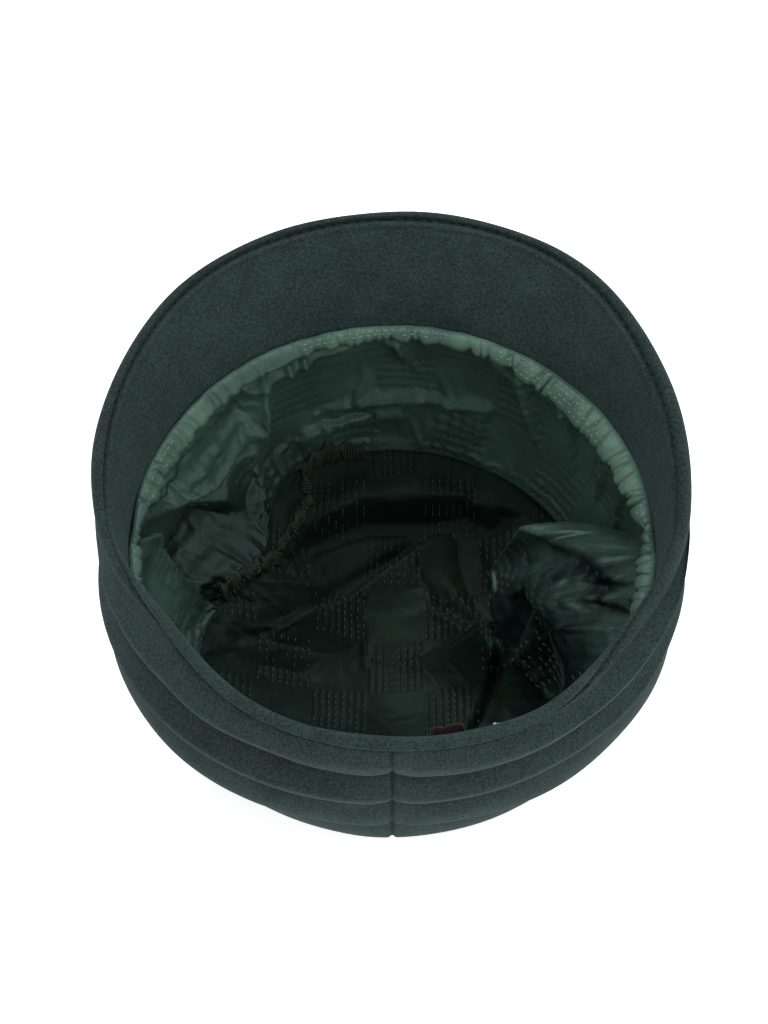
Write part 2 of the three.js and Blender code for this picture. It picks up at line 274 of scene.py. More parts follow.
def crumple(places, held, growth, stiff):
    """Cloth of rows and columns that grows a little and settles, held where told; its new places."""
    rows, columns = places.shape[:2]
    bm = bmesh.new()
    bmesh.ops.create_grid(bm, x_segments=columns - 1, y_segments=rows - 1, size=0.5)
    spot = bm.verts.layers.int.new("spot")
    table = places.tolist()
    for vert in bm.verts:
        i = round((vert.co.x + 0.5) * (columns - 1))
        j = round((vert.co.y + 0.5) * (rows - 1))
        vert.co = table[j][i]
        vert[spot] = j * columns + i
    bmesh.ops.remove_doubles(bm, verts=bm.verts, dist=1e-7)
    bmesh.ops.recalc_face_normals(bm, faces=bm.faces)
    spots = [vert[spot] for vert in bm.verts]
    obj = shown_mesh("settling", bm)
    mesh = obj.data
    pins = obj.vertex_groups.new(name="held")
    pins.add([k for k, at in enumerate(spots) if held[at // columns, at % columns]], 1.0, "REPLACE")
    cloth_modifier = obj.modifiers.new("settling", "CLOTH")
    cloth_modifier.collision_settings.use_collision = False
    cloth_modifier.point_cache.frame_start = 1
    cloth_modifier.point_cache.frame_end = SETTLING_FRAMES
    settings = {
        "quality": 5, "mass": 0.0006, "air_damping": 2.0, "vertex_group_mass": "held",
        "shrink_min": -growth, "tension_stiffness": 15, "compression_stiffness": 15,
        "shear_stiffness": 5, "bending_stiffness": stiff, "use_pressure": True,
    }
    for key, value in settings.items():
        setattr(cloth_modifier.settings, key, value)
    scene = bpy.context.scene
    for number in range(1, SETTLING_FRAMES + 1):
        scene.frame_set(number)
    settled = obj.evaluated_get(bpy.context.evaluated_depsgraph_get()).data
    found = np.empty(len(settled.vertices) * 3)
    settled.vertices.foreach_get("co", found)
    bpy.data.objects.remove(obj)
    bpy.data.meshes.remove(mesh)
    scene.frame_set(1)
    result = np.full(places.shape, np.nan)
    result.reshape(-1, 3)[spots] = found.reshape(-1, 3)
    result[:, 0] = np.where(np.isnan(result[:, 0]), result[:, -1], result[:, 0])
    result[:, -1] = np.where(np.isnan(result[:, -1]), result[:, 0], result[:, -1])
    return result


def between(grid, row, column):
    """A smooth surface through a grid of places, at rows and columns that need not be whole."""
    row, column = np.broadcast_arrays(np.clip(row, 0, grid.shape[0] - 1.0001), column)
    i, j = np.floor(row).astype(int), np.floor(column).astype(int)
    f, g = (row - i)[..., None], (column - j)[..., None]
    closed = np.allclose(grid[:, 0], grid[:, -1])
    last = grid.shape[1] - 1
    across = []
    for di in range(-1, 3):
        line = np.clip(i + di, 0, grid.shape[0] - 1)
        spots = [(j + dj) % last if closed else np.clip(j + dj, 0, last) for dj in range(-1, 3)]
        across.append(catmull(*(grid[line, at] for at in spots), g))
    return catmull(*across, f)


# ---- finishes ------------------------------------------------------------------------------------


def operation(kind, swapped=False):
    """An arithmetic sign between two values, as a node."""
    def act(socket, other):
        values = (other, socket) if swapped else (socket, other)
        return socket.finish.math(kind, *values)
    return act


class Socket:
    """A node's output that takes part in sums."""

    def __init__(self, finish, port):
        self.finish = finish
        self.port = port

    __add__ = __radd__ = operation("ADD")
    __sub__ = operation("SUBTRACT")
    __rsub__ = operation("SUBTRACT", swapped=True)
    __mul__ = __rmul__ = operation("MULTIPLY")
    __truediv__ = operation("DIVIDE")
    __mod__ = operation("FLOORED_MODULO")
    __lt__ = operation("LESS_THAN")


class Finish:
    """A material that is written as expressions on its sockets."""

    def __init__(self, name, **constants):
        self.material = bpy.data.materials.new(name)
        self.material.use_nodes = True
        self.tree = self.material.node_tree
        self.shader = self.tree.nodes["Principled BSDF"]
        for key, value in constants.items():
            self.shader.inputs[key.replace("_", " ")].default_value = value

    def plug(self, socket, value):
        if isinstance(value, Socket):
            self.tree.links.new(value.port, socket)
        else:
            socket.default_value = value

    def add(self, kind, settings, *values, output=0, **named):
        node = self.tree.nodes.new(kind)
        for key, value in settings.items():
            setattr(node, key, value)
        for socket, value in zip(node.inputs, values):
            self.plug(socket, value)
        for key, value in named.items():
            self.plug(node.inputs[key.replace("_", " ")], value)
        return Socket(self, node.outputs[output])

    def mix(self, factor, a, b):
        node = self.tree.nodes.new("ShaderNodeMix")
        node.data_type = "RGBA"
        for index, value in ((0, factor), (6, a), (7, b)):
            self.plug(node.inputs[index], value)
        return Socket(self, node.outputs[2])

    def where(self):
        return self.add("ShaderNodeTexCoord", {}, output="Object")

    def across_and_along(self):
        uv = self.add("ShaderNodeUVMap", {"uv_map": "cloth"})
        return [self.add("ShaderNodeSeparateXYZ", {}, uv, output=k) for k in ("X", "Y")]

    def attribute(self, name):
        return self.add("ShaderNodeAttribute", {"attribute_name": name}, output="Fac")

    def math(self, kind, *values):
        return self.add("ShaderNodeMath", {"operation": kind}, *values)

    def noise(self, vector, scale, detail=2.0, roughness=0.5):
        return self.add("ShaderNodeTexNoise", {}, Vector=vector, Scale=scale, Detail=detail,
                        Roughness=roughness)

    def stretch(self, vector, scale):
        return self.add("ShaderNodeMapping", {}, Vector=vector, Scale=scale)

    def step(self, value, low, high, start=0.0, end=1.0):
        return self.add(
            "ShaderNodeMapRange",
            {"interpolation_type": "SMOOTHSTEP"},
            Value=value, From_Min=low, From_Max=high, To_Min=start, To_Max=end,
        )

    def bump(self, height, distance, strength):
        return self.add("ShaderNodeBump", {}, Height=height, Distance=distance, Strength=strength)

    def set(self, **values):
        for key, value in values.items():
            self.plug(self.shader.inputs[key.replace("_", " ")], value)
        return self.material


def rgb(r, g, b):
    """A colour as the eye names it, from 0 to 255, as the shader wants it."""
    linear = [((c / 255 + 0.055) / 1.055) ** 2.4 if c > 10 else c / 255 / 12.92 for c in (r, g, b)]
    return (*linear, 1.0)


def wool_finish(name, deep, light):
    """Boiled wool, with painted shade in its folds and painted highlights at its edges."""
    wool = Finish(name, Roughness=0.95, Specular_IOR_Level=0.2, Sheen_Weight=0.16, Sheen_Roughness=0.5,
                  Sheen_Tint=rgb(140, 172, 170))
    where = wool.where()
    clouds = wool.noise(where, 90, 3)
    mottle = wool.noise(where, 1150, 3, 0.6)
    fibres = wool.noise(wool.stretch(where, (1, 0.45, 0.8)), 2600, 3, 0.7)
    speckle = wool.step(wool.noise(wool.stretch(where, (0.6, 1, 1)), 2100, 2), 0.62, 0.75)
    tone = wool.step(clouds * 0.2 + mottle * 0.8 + fibres * 0.5, 0.55, 0.95, 0.12, 0.84) + speckle * 0.2
    # The fold attribute paints shade (above 0) and highlights (below 0) onto the wool.
    tone = tone - wool.attribute("fold") * 0.62
    height = mottle * 0.5 + fibres * 0.7
    return wool.set(Base_Color=wool.mix(tone, deep, light), Normal=wool.bump(height, 0.0006, 0.9))


def satin_finish(name, deep, light, gloss, quilted=None):
    """Satin, sunk along its rows of running stitch in every second block."""
    satin = Finish(name, Roughness=0.52 - 0.2 * gloss, Specular_IOR_Level=gloss, Anisotropic=0.3,
                   Specular_Tint=(0.57, 0.92, 0.8, 1), Sheen_Weight=0.08, Sheen_Roughness=0.3,
                   Sheen_Tint=(0.58, 0.95, 0.84, 1))
    where = satin.where()
    tone = satin.step(satin.noise(where, 45, 3), 0.35, 0.7)
    weave = satin.noise(satin.stretch(where, (1, 1, 2.5)), 2600, 2)
    creases = satin.noise(satin.stretch(where, (1, 1, 2.2)), 170, 4, 0.55)
    height = weave * 0.08 + creases * 0.7
    if quilted:
        u, v = satin.across_and_along()
        # Painted shade: the satin is drawn darker over the given span, down the side wall and toward the
        # front of the top lining.
        tone = tone * satin.step(v, *quilted["painted_shade_span"], 0.6, 0.36)
        across, along = u - quilted["start"][0], v - quilted["start"][1]
        wide, tall = quilted["block"]
        checker = satin.math("FLOOR", across / wide) + satin.math("FLOOR", along / tall)
        stitched = ((checker + quilted["odd"]) % 2.0) < 0.5
        line = (along if quilted["rows_along"] else across) / quilted["pitch"]
        height = height - stitched * satin.math("COSINE", line * TAU) * -0.25
        tone = tone * (1.0 - stitched * 0.25)
    # The painted light and shade may go past both colours, so they are stretched apart and the tone is
    # drawn in to match.
    darker, lighter = (tuple(d + share * (l - d) for d, l in zip(deep, light)) for share in (-0.155, 2.07))
    tone = (tone - satin.attribute("fold")) * 0.45 + 0.07
    return satin.set(Base_Color=satin.mix(tone, darker, lighter), Normal=satin.bump(height, 0.0005, 0.9))


# Blocks of running stitch: size of a block in mm, where the first one starts, the pitch of its rows and
# which way they run, which blocks are stitched, and the stretch over which painted shade darkens the satin.
SIDE_QUILT = {"block": (23.18, 22), "start": (-6.18, -9), "pitch": 22 / 6, "rows_along": True, "odd": 1,
              "painted_shade_span": (8, 45)}
FLOOR_QUILT = {"block": (20, 20), "start": (11, 9), "pitch": 2.5, "rows_along": False, "odd": 0,
               "painted_shade_span": (60, 90)}

# The satin pieces are lit and shaded copies of one lining satin: the gathered edge is drawn lighter as
# painted light, and the top lining and seam allowance darker as painted shade.
wool = wool_finish("boiled wool", rgb(14, 20, 21), rgb(51, 69, 69))
edge_satin_lit = satin_finish("gathered satin lit", rgb(52, 72, 64), rgb(74, 98, 88), 0.35)
side_satin = satin_finish("side satin", rgb(22, 34, 31), rgb(66, 91, 83), 0.4, SIDE_QUILT)
floor_satin_shaded = satin_finish("top satin shaded", rgb(17, 26, 22), rgb(28, 40, 34), 0.1, FLOOR_QUILT)
seam_satin_shaded = satin_finish("seam satin shaded", rgb(16, 24, 20), rgb(24, 34, 29), 0.15)

# ---- wool ----------------------------------------------------------------------------------------

COLUMNS = 560
turns = np.linspace(0, 1, COLUMNS + 1)
angles = TAU * turns + 0.5 * np.sin(TAU * turns)
BACK_SEAM = (angles - math.pi) * BACK_RADIUS

rim, lip1, lip2, lip3 = (station(column, angles) for column in (RIM, LIP1, LIP2, LIP3))
seam = station(SEAM, angles)[:, 0]
for lip, seed in ((lip1, 3), (lip2, 4), (lip3, 5)):
    lip[:, 1] += ripple(angles, 0, 0.35, 11, 40, seed) + 1.1 * bell(BACK_SEAM / 4.5)
    lip[:, 0] += ripple(angles, 0, 0.3, 12, 40, seed + 10) - 0.7 * bell(BACK_SEAM / 5)
rim[:, 1] += ripple(angles, 0, 0.4, 10, 40, 7)

root = np.array([WOOL + GAP / 2, 0])
bell_out = BELL["out_share"] * rim[:, 0] + BELL["out_extra"]
bell_point = np.stack([bell_out, BELL["up_share"] * rim[:, 1]], axis=-1)


def brim_line(s):
    """The middle of the brim and its aim, at a share of the way from the head line to the rim."""
    s = np.broadcast_to(s, angles.shape)[:, None]
    point = (1 - s) ** 2 * root + 2 * s * (1 - s) * bell_point + s * s * rim
    slope = 2 * (1 - s) * (bell_point - root) + 2 * s * (rim - bell_point)
    length = np.linalg.norm(slope, axis=-1, keepdims=True)
    return point, slope / length, length[:, 0]


def beside_brim(s, offset, onward=0.0):
    """A point beside the middle line: positive offsets lie toward the outside of the hat."""
    point, aim, _ = brim_line(s)
    outward = np.stack([aim[:, 1], -aim[:, 0]], axis=-1)
    return point + outward * np.broadcast_to(offset, angles.shape)[:, None] + aim * onward


def brim_share_at(up):
    bend = 2 * BELL["up_share"] - 1
    return (BELL["up_share"] - np.sqrt(BELL["up_share"] ** 2 - bend * up / rim[:, 1])) / bend


def lip_end(lip):
    return [lip + np.array(step) for step in LIP_END]


def belly(foot, lip):
    share = np.array([BELLY["out_share"], BELLY["up_share"]])
    return (1 - share) * foot + share * lip + np.array([BELLY["fullness"], 0])


end_share = 1 - RIM_HALF / brim_line(1.0)[2]
half = WOOL + GAP / 2
swell = lambda share: half + (RIM_HALF - half) * smoothstep(share, 0.6, 1)
UNDER_SHARES = (0, 0.15, 0.3, 0.45, 0.6, 0.75, 0.88)
under = [beside_brim(end_share * share, -swell(share)) for share in UNDER_SHARES]
roll = [
    beside_brim(1.0, -RIM_HALF * math.cos(turn), RIM_HALF * (math.sin(turn) - 1))
    for turn in np.linspace(0, math.pi, 9)
]
outer_face = [beside_brim(end_share * 0.9, swell(0.9)), belly(roll[-1], lip1)]
brim = curve(under + roll + outer_face + lip_end(lip1))
run = lengths(brim)
crest = run[(len(under) + 4) * 6]
stitch_line = crest - seam
side = left_of(brim)


def brim_surface(places, welt):
    """The brim's face at lengths along its section, sunk at the topstitching."""
    points = resample(brim, run, places)
    away = np.abs(places - stitch_line)
    lift = -1.0 * bell(away / 0.75) - 0.35 * bell(away / 2.2)
    lift = lift + welt * bell((away - 1.9) / 0.9)
    lift = lift + ripple(angles, places, 0.28, 16, 22, 21) * smoothstep(away, 0, 6)
    return points + resample(side, run, places) * lift[..., None]


def outside_seam(path, depth, width):
    """The centre-back seam, drawn into a face."""
    sunk = depth * bell(BACK_SEAM / width)
    return path - left_of(path) * sunk[None, :, None]


def closed_section(face, inner):
    """A face and its hidden back as one closed wall."""
    loop = np.concatenate([face, inner, face[:1]])
    return place(angles[None, :], loop[..., 0], loop[..., 1])


shares = crowd(74, 0.7)[:, None]
outer_places = stitch_line + SEAM_HALF + shares * (run[-1] - stitch_line - SEAM_HALF)
outer = outside_seam(brim_surface(outer_places, 0.0), 0.9, 0.9)
first_in = outer[0] - left_of(outer)[0] * EDGE_THICK
back_up = brim_share_at(lip1[:, 1] + 3.0)
outer_inner = np.stack([
    outer[-1] + np.array([-0.25, 0.8]), beside_brim(back_up, 0.9),
    beside_brim(0.5 * back_up + 0.5 * end_share, 0.2), beside_brim(end_share * 0.97, 0.3),
    0.5 * first_in + 0.5 * beside_brim(end_share, 0.3), first_in,
])


def painted_fold_shading(places, feet, edges):
    """Painted shade and highlight on wool, at lengths along a section: painted shade below each fold's
    foot, a painted highlight toward each edge, and darker along the back seam.
    """
    total = np.zeros(places.shape)
    for foot in feet:
        away = places - foot
        total = total + np.where(away > 0, 1.25 * np.exp(-np.abs(away) / 4.5), 0.9 * bell(away / 3))
    for edge in edges:
        away = places - edge
        total = total - 0.7 * np.where(away < 0, np.exp(-np.abs(away) / 2.4), bell(away / 0.8))
    return total + 0.9 * bell(BACK_SEAM / 0.45)


def wool_piece(node, face, inner, length, fold=None):
    """One wall of wool in place of a node: its face, its plain back and the painted shade of its folds."""
    # fold: painted shade and highlight for the face's rows; the hidden back gets a plain middle value.
    if fold is not None:
        fold = np.concatenate([fold, np.full((len(inner), fold.shape[1]), 0.5), fold[:1]])
    section = closed_section(face, inner)
    cloth(node + "_wool", section, (600, length), node, wool, fold=0.0 if fold is None else fold)


# Painted shade along the topstitching's groove, and a painted highlight toward the lip's edge.
groove = 0.6 * bell((outer_places - stitch_line) / 0.5) + 0.15 * bell((outer_places - stitch_line) / 2.5)
lip_edge = run[(len(under) + len(roll) + len(outer_face) + 1) * 6]
wool_piece("brim_outer", outer, outer_inner, 40, painted_fold_shading(outer_places, [], [lip_edge]) + groove)

shares = crowd(60, 0.7)[:, None]
under_places = shares * (stitch_line - SEAM_HALF)
under_face = brim_surface(under_places, 0.5)
last_in = under_face[-1] - left_of(under_face)[-1] * EDGE_THICK
under_back = [beside_brim(end_share * share, -0.2) for share in (0.95, 0.6, 0.3, 0.0)]
under_inner = np.stack([last_in] + under_back)
from_stitches = under_places - stitch_line
# Painted shade along the topstitching's groove; the rest of the underside is drawn a little lighter.
under_painted_shading = 0.6 * bell(from_stitches / 0.5) + 0.1 * bell(from_stitches / 2.0) - 0.12
wool_piece("brim_under", under_face, under_inner, 40, under_painted_shading)


def shadow(lip):
    """The wool behind a lip: up in its fold, and down again."""
    return [lip + np.array(step) for step in BEHIND_LIP]


foot1 = beside_brim(brim_share_at(lip1[:, 1] - 0.5), GAP + WOOL)
top1 = beside_brim(brim_share_at(lip1[:, 1] + 2.5), GAP + WOOL)
shade2, shade3 = shadow(lip2), shadow(lip3)
wall_start = lip3 + np.array([-LIP_LAYERS - 0.3, -2])
crown = curve(
    [top1, foot1, belly(foot1, lip2)] + lip_end(lip2) + shade2 + [belly(shade2[-1], lip3)] + lip_end(lip3)
    + shade3[:-1] + [wall_start] + [np.array(p) for p in CROWN_WALL],
    5,
)
crown_run = lengths(crown)
crown_places = np.linspace(0, 1, 168)[:, None] * crown_run[-1]
crown_face = resample(crown, crown_run, crown_places)
crown_side_dir = resample(left_of(crown), crown_run, crown_places)
crown_lift = ripple(angles, crown_places, 0.3, 15, 24, 31)
crown_lift = crown_lift - 1.2 * bell((crown_places - crown_run[-1]) / 1.2)
crown_face = outside_seam(crown_face + crown_side_dir * crown_lift[..., None], 0.9, 0.9)
crown_inner = [np.array(p) + np.array([-WOOL, 0.6]) for p in reversed(CROWN_WALL)]
crown_inner += [lip + np.array([-LIP_LAYERS - WOOL, 1]) for lip in (lip3, lip2)] + [beside_brim(0.0, GAP)]
crown_inner = np.stack([np.broadcast_to(p, (len(angles), 2)) for p in crown_inner])
FOOT1, EDGE2, FOOT2, EDGE3, FOOT3 = 1, 4, 12, 15, 23
# Painted shade below each tuck's foot and a painted highlight at each lip's edge.
crown_painted_shading = painted_fold_shading(crown_places, [crown_run[k * 5] for k in (FOOT1, FOOT2, FOOT3)],
                      [crown_run[k * 5] for k in (EDGE2, EDGE3)])
wool_piece("crown_side", crown_face, crown_inner, 110, crown_painted_shading)

CROWN_REST = -88.0
flat_top = [(-65.0, CROWN_REST), (-HEAD_HALF_WIDTH, CROWN_REST)]
top_line = curve([np.array(p) for p in CROWN_TOP + flat_top], 7)
top_run = lengths(top_line)
off_rest = smoothstep(top_line[..., 1], -86, -80)
top_lift = ripple(angles, top_run, 0.25, 9, 30, 41) * off_rest - 1.0 * bell(top_run / 1.2)
top_face = top_line + left_of(top_line) * top_lift[..., None]
top_inner = (top_line - left_of(top_line) * WOOL)[::-1]
top_inner[0] = (-HEAD_HALF_WIDTH, CROWN_REST + WOOL)
wool_piece("crown_top", top_face, top_inner, 60)

# ---- lining --------------------------------------------------------------------------------------

RING = {"out": -2.6, "up": 1.3, "wide": 1.2, "thick": 1.5, "lean": 20}
# angle in degrees and the gathered edge's radius there
RING_SIZES = [(0, 2.4), (25, 2.7), (38, 3.6), (55, 4.2), (70, 3.9), (82, 2.7), (88, 1.6), (95, 3.0),
              (108, 2.4), (180, 2.3), (250, 2.0), (268, 1.7), (275, 0.9), (279, 2.0), (285, 3.2),
              (300, 3.4), (325, 3.0), (345, 2.5), (360, 2.4)]

# Slack satin that stands inward from the wall: angle, spread, up, reach, rise and lean.
SLACK = [
    (299, 34, -54, 30, 23, 0.3), (22, 14, -36, 20, 4, -0.2),
    (150, 18, -34, 26, 7, 0), (205, 20, -36, 26, 7, 0),
]

# The great folds that hang over. Each row: angle at the wall, level of the upper edge, the rise at that
# edge and further down, the lean round toward the front, and the level where the fold turns back.
GREAT_FOLDS = [
    {"drop": 26, "fade": 21, "rows": [
        (71, -30, 0, 0, 0, -52), (73.5, -29, 14, 15, 12, -52), (76, -25, 30, 32, 21, -52),
        (79, -22, 28, 34, 18, -52), (83, -18, 24, 37, 14, -53), (88, -12, 16, 39, 9, -55),
        (93, -6.5, 8, 38, 5, -57), (98, -2, 2, 35, 2, -58), (105, -3, 1, 30, 0, -59),
        (112, -4, 0, 22, 0, -59), (119, -4, 0, 12, 0, -59), (127, -4, 0, 0, 0, -59)]},
    {"drop": 30, "fade": 16, "rows": [
        (240, -3, 0, 0, 0, -55), (250, -3, 0, 4, 0, -55), (258, -3, 0, 7, -3, -55),
        (266, -3, 3, 9, -5, -55), (272, -2, 8, 11, -6, -55), (274, -3, 8, 9, -4, -55),
        (276, -5, 0, 0, 0, -55)]},
    {"drop": 22, "fade": 4, "rows": [
        (277, -2, 0, 0, 0, -7), (281, -2, 0, 14, 0, -9), (287, -2, 0, 14, 0, -12),
        (297, -2, 0, 13, 0, -21), (304, -2, 0, 12, 0, -24), (320, -2, 0, 10, 0, -23),
        (326, -2, 0, 8, 0, -22), (332, -2, 0, 0, 0, -20)]},
]
EDGE_DROP = 5

# Soft patches of painted light (below 0) and painted shade on the satin of the side: angle, spread, length
# down the wall, reach and amount.
SIDE_PAINTED_LIGHT = [(262, 12, 34, 30, -0.5), (304, 22, 12, 13, -0.2), (298, 22, 50, 18, 0.5),
               (50, 24, 24, 28, -0.9), (96, 24, 30, 30, 0.4), (2, 60, 24, 32, -0.55)]

# Folds of the side lining: path as (angle, up, rise), its width on the left and on the right, and the
# dip beyond its right side. Angles past 360 go on round the head.
SIDE_FOLDS = [
    ([(279, -4, 2), (288, -5, 5), (310, -5.5, 5.5), (335, -5.5, 5), (350, -5, 2)], 1.5, 1.5, 0),
    ([(385, -5, 1), (400, -5, 3), (425, -5.5, 3), (440, -5, 1)], 1.5, 1.5, 0),
    ([(281, -6, -5), (287, -9, -6), (294, -13, -4)], 2.2, 2.2, 0),
    ([(277, -4, 2), (282, -9, 3), (288, -13, 3), (296, -21, 2)], 1.5, 1.5, 0),
    ([(279, -12, -4), (286, -22, -10), (294, -31, -10), (303, -40, -5)], 5, 6, 0),
    ([(282, -20, 3), (292, -29, 7), (306, -33, 8), (320, -32, 3)], 2.4, 6, 3),
    ([(284, -7, 1), (300, -10, 2.4), (318, -9, 1.8), (331, -7, 0.5)], 1.2, 2.2, 0),
    ([(288, -13, 1), (304, -17, 2.4), (319, -15, 1.0)], 1.2, 2.2, 0),
    ([(294, -21, 1), (308, -24, 2.6), (320, -21, 1)], 1.4, 3.0, 0),
    ([(328, -1, 3), (326, -16, 5.5), (321, -33, 3)], 1.8, 5.0, 3),
    ([(334, -1, 2.4), (334.5, -9, 1.2)], 1.4, 1.4, 0),
    ([(338, -1, 2.2), (338, -8, 1.0)], 1.4, 1.4, 0),
    ([(340, -36, 2), (351, -34, 3.6), (363, -33, 3.4), (374, -31, 3.2), (385, -29, 1)], 1.6, 3.0, 2),
    ([(337, -44, 1), (349, -42, 2.6), (362, -42, 1.2)], 1.6, 3.0, 2),
    ([(358.5, -1, 3), (362, -8, 3), (366, -20, 1)], 1.4, 3, 2),
    ([(380, -2, 2), (385, -6, 3.6), (391, -9, 2)], 1.4, 3, 2),
    ([(392, -2, 3), (394, -16, 5), (398, -30, 4), (405, -45, 2)], 1.8, 5, 3),
    ([(407, -3, 3), (409, -20, 5), (412, -38, 2)], 1.8, 4.4, 3),
    ([(418, -6, 3), (420, -22, 5.5), (420, -40, 2)], 2.4, 5, 3),
    ([(427, -4, 2), (429, -20, 4), (431, -40, 2)], 1.6, 4, 3),
    ([(455, -3, 3), (452, -14, 5), (448, -27, 2)], 3.6, 3.6, 2),
    ([(461, -3, 2), (461.5, -9, 6), (459, -15, 2)], 2.0, 3.0, 3),
    ([(470, -3, 1), (468, -12, 5), (466, -24, 2)], 8, 2.2, 3),
    ([(140, -4, 2), (142, -24, 5), (140, -50, 4)], 4, 7, 0),
    ([(168, -4, 2), (166, -28, 4), (170, -50, 4)], 6, 4, 0),
    ([(192, -4, 2), (194, -28, 5), (190, -50, 3)], 4, 7, 0),
    ([(222, -4, 2), (221, -24, 5), (226, -50, 4)], 5, 4, 0),
    ([(242, -4, 1), (243, -24, 3), (240, -50, 3)], 4, 4, 0),
]

# Folds of the top lining: path as (x, y, rise), then as for the side lining.
FLOOR_FOLDS = [
    ([(-38, 40, 2), (-32, 49, 5), (-21, 55, 7), (-10, 60, 8), (6, 60, 8), (25, 60, 7), (36, 56, 3)],
     12, 2.6, 5),
    ([(22, 52, 1), (11, 44, 5), (-7, 31, 7), (-24, 19, 6), (-42, 7.6, 4), (-52, 2, 1)], 12, 2.2, 4),
    ([(26, 52, -3), (29, 40, -9), (32, 28, -9), (36, 18, -6), (33, 11, -3)], 4.5, 5, 0),
    ([(35, 5, 6), (24, 13, 5.5), (14.5, 21, 4), (12, 30, 1)], 10, 2.4, 4),
    ([(25, -30, 2), (30, -19, 4), (36, -4, 5), (37, 5, 4)], 8, 2.0, 6),
    ([(-34, 56, 2), (-38, 44, 3), (-38, 37, 4), (-35, 33, 4.5), (-30, 37, 3)], 2.6, 2.4, 0),
    ([(-34, 46, -3), (-33, 39, -4)], 3, 3, 0),
    ([(-61, 22, 1), (-45, 23, 2), (-34, 26, 2.4), (-23, 30, 1.4)], 1.4, 1.2, 0.8),
    ([(-69, 1, 2), (-60, 4, 3), (-49, 7.6, 3)], 8, 1.4, 2),
    ([(-56, -2, -3), (-44, -6, -6), (-33, -5, -3)], 6, 6, 0),
    ([(-13, 18, -1.5), (-10, 11, -2.2), (-10, 0, -1.2)], 1.6, 1.6, 0),
    ([(52, 10, -6), (50, -12, -7), (44, -34, -5)], 9, 9, 0),
    ([(-20, -30, 1), (0, -36, 1.6), (16, -48, 1)], 5, 4, 0),
]

wall = np.array(LINING_WALL, dtype=float)
wall_run = walked(wall)
WALL_LENGTH = wall_run[-1]
# The length round the head along which the cloth's pattern is laid.
HEAD_ROUND = 556


def swellings(angle, up):
    """How far the slack satin stands inward."""
    total = 0
    for centre, spread, level, reach, rise, lean in SLACK:
        turn = degrees_from(angle, centre + lean * (up - level))
        wide = np.clip(np.abs(turn / spread), 0, 1)
        tall = np.clip(np.abs((up - level) / reach), 0, 1)
        total = total + rise * np.cos(wide * math.pi / 2) ** 2 * np.cos(tall * math.pi / 2) ** 2
    return total


def overhang(angle, up):
    """How far the great folds stand inward and lean round."""
    inward, turned = 0, 0
    for great in GREAT_FOLDS:
        rows = np.array(great["rows"], dtype=float)
        degrees = np.degrees(angle) % 360
        top, edge, deep, lean, foot = (np.interp(degrees, rows[:, 0], rows[:, k]) for k in range(1, 6))
        below = top - up
        swell = edge * smoothstep(below, 0, EDGE_DROP) + (deep - edge) * smoothstep(below, 0, great["drop"])
        swell = swell * smoothstep(up - foot, -great["fade"], 0)
        inward = inward + swell
        turned = turned + np.radians(lean) * np.clip(swell / np.maximum(deep, 1), 0, 1)
    return inward, turned


def fold(x, y, path, left, right, dip):
    """The height of one fold over points of the flat cloth."""
    nearest = np.full(np.shape(x), 1e9)
    height = np.zeros(np.shape(x))
    for (x0, y0, rise0), (x1, y1, rise1) in zip(path, path[1:]):
        run_x, run_y = x1 - x0, y1 - y0
        share = np.clip(((x - x0) * run_x + (y - y0) * run_y) / (run_x**2 + run_y**2), 0, 1)
        off_x, off_y = x - x0 - share * run_x, y - y0 - share * run_y
        away = np.hypot(off_x, off_y)
        on_left = run_x * off_y - run_y * off_x > 0
        rise = rise0 + share * (rise1 - rise0)
        top = rise * np.exp(-((away / np.where(on_left, left, right)) ** 1.5))
        sunk = np.where(on_left, 0, dip * rise / 6 * bell((away - 2.2 * right) / (1.3 * right)))
        height = np.where(away < nearest, top - sunk, height)
        nearest = np.minimum(away, nearest)
    return height


def side_folds(angle, up):
    """How far the side lining's folds stand inward."""
    total = 0
    for path, left, right, dip in SIDE_FOLDS:
        middle = path[len(path) // 2][0]
        flat = [((a - middle) * MM_PER_DEGREE, level, rise) for a, level, rise in path]
        total = total + fold(degrees_from(angle, middle) * MM_PER_DEGREE, up, flat, left, right, dip)
    return total


# The gathers below the edge: degree, depth, width and slant of each, within these limits.
PINCH_COUNT = 220
PINCH_LIMITS = ((0, 360), (0.2, 0.95), (0.3, 0.8), (-1.6, 1.6))
pinch_rng = np.random.default_rng(8)
PINCHES = [[pinch_rng.uniform(*limits) for limits in PINCH_LIMITS] for _ in range(PINCH_COUNT)]


def side_sketch(angle, down):
    """A place on the side lining: an angle and a length down the wall."""
    out = np.interp(down, wall_run, wall[:, 0])
    up = np.interp(down, wall_run, wall[:, 1])
    hold = smoothstep(down, 0, 5)
    fine = ripple(angle, down, 0.45, 60, 26, 51) + ripple(angle, down, 0.25, 110, 12, 52)
    swell, lean = overhang(angle, up)
    inward = swellings(angle, up) + side_folds(angle, up) + fine + swell
    for middle, depth, width, slant in PINCHES:
        away = degrees_from(angle, middle) * MM_PER_DEGREE - slant * down / 5
        inward = inward - 2.0 * depth * bell(away / (width + 0.9)) * np.exp(-down / 9)
    inward = inward * hold - 2.2 * smoothstep(down, WALL_LENGTH - 3.5, WALL_LENGTH)
    return place(angle - lean, out - inward, up - 0.12 * inward * hold)


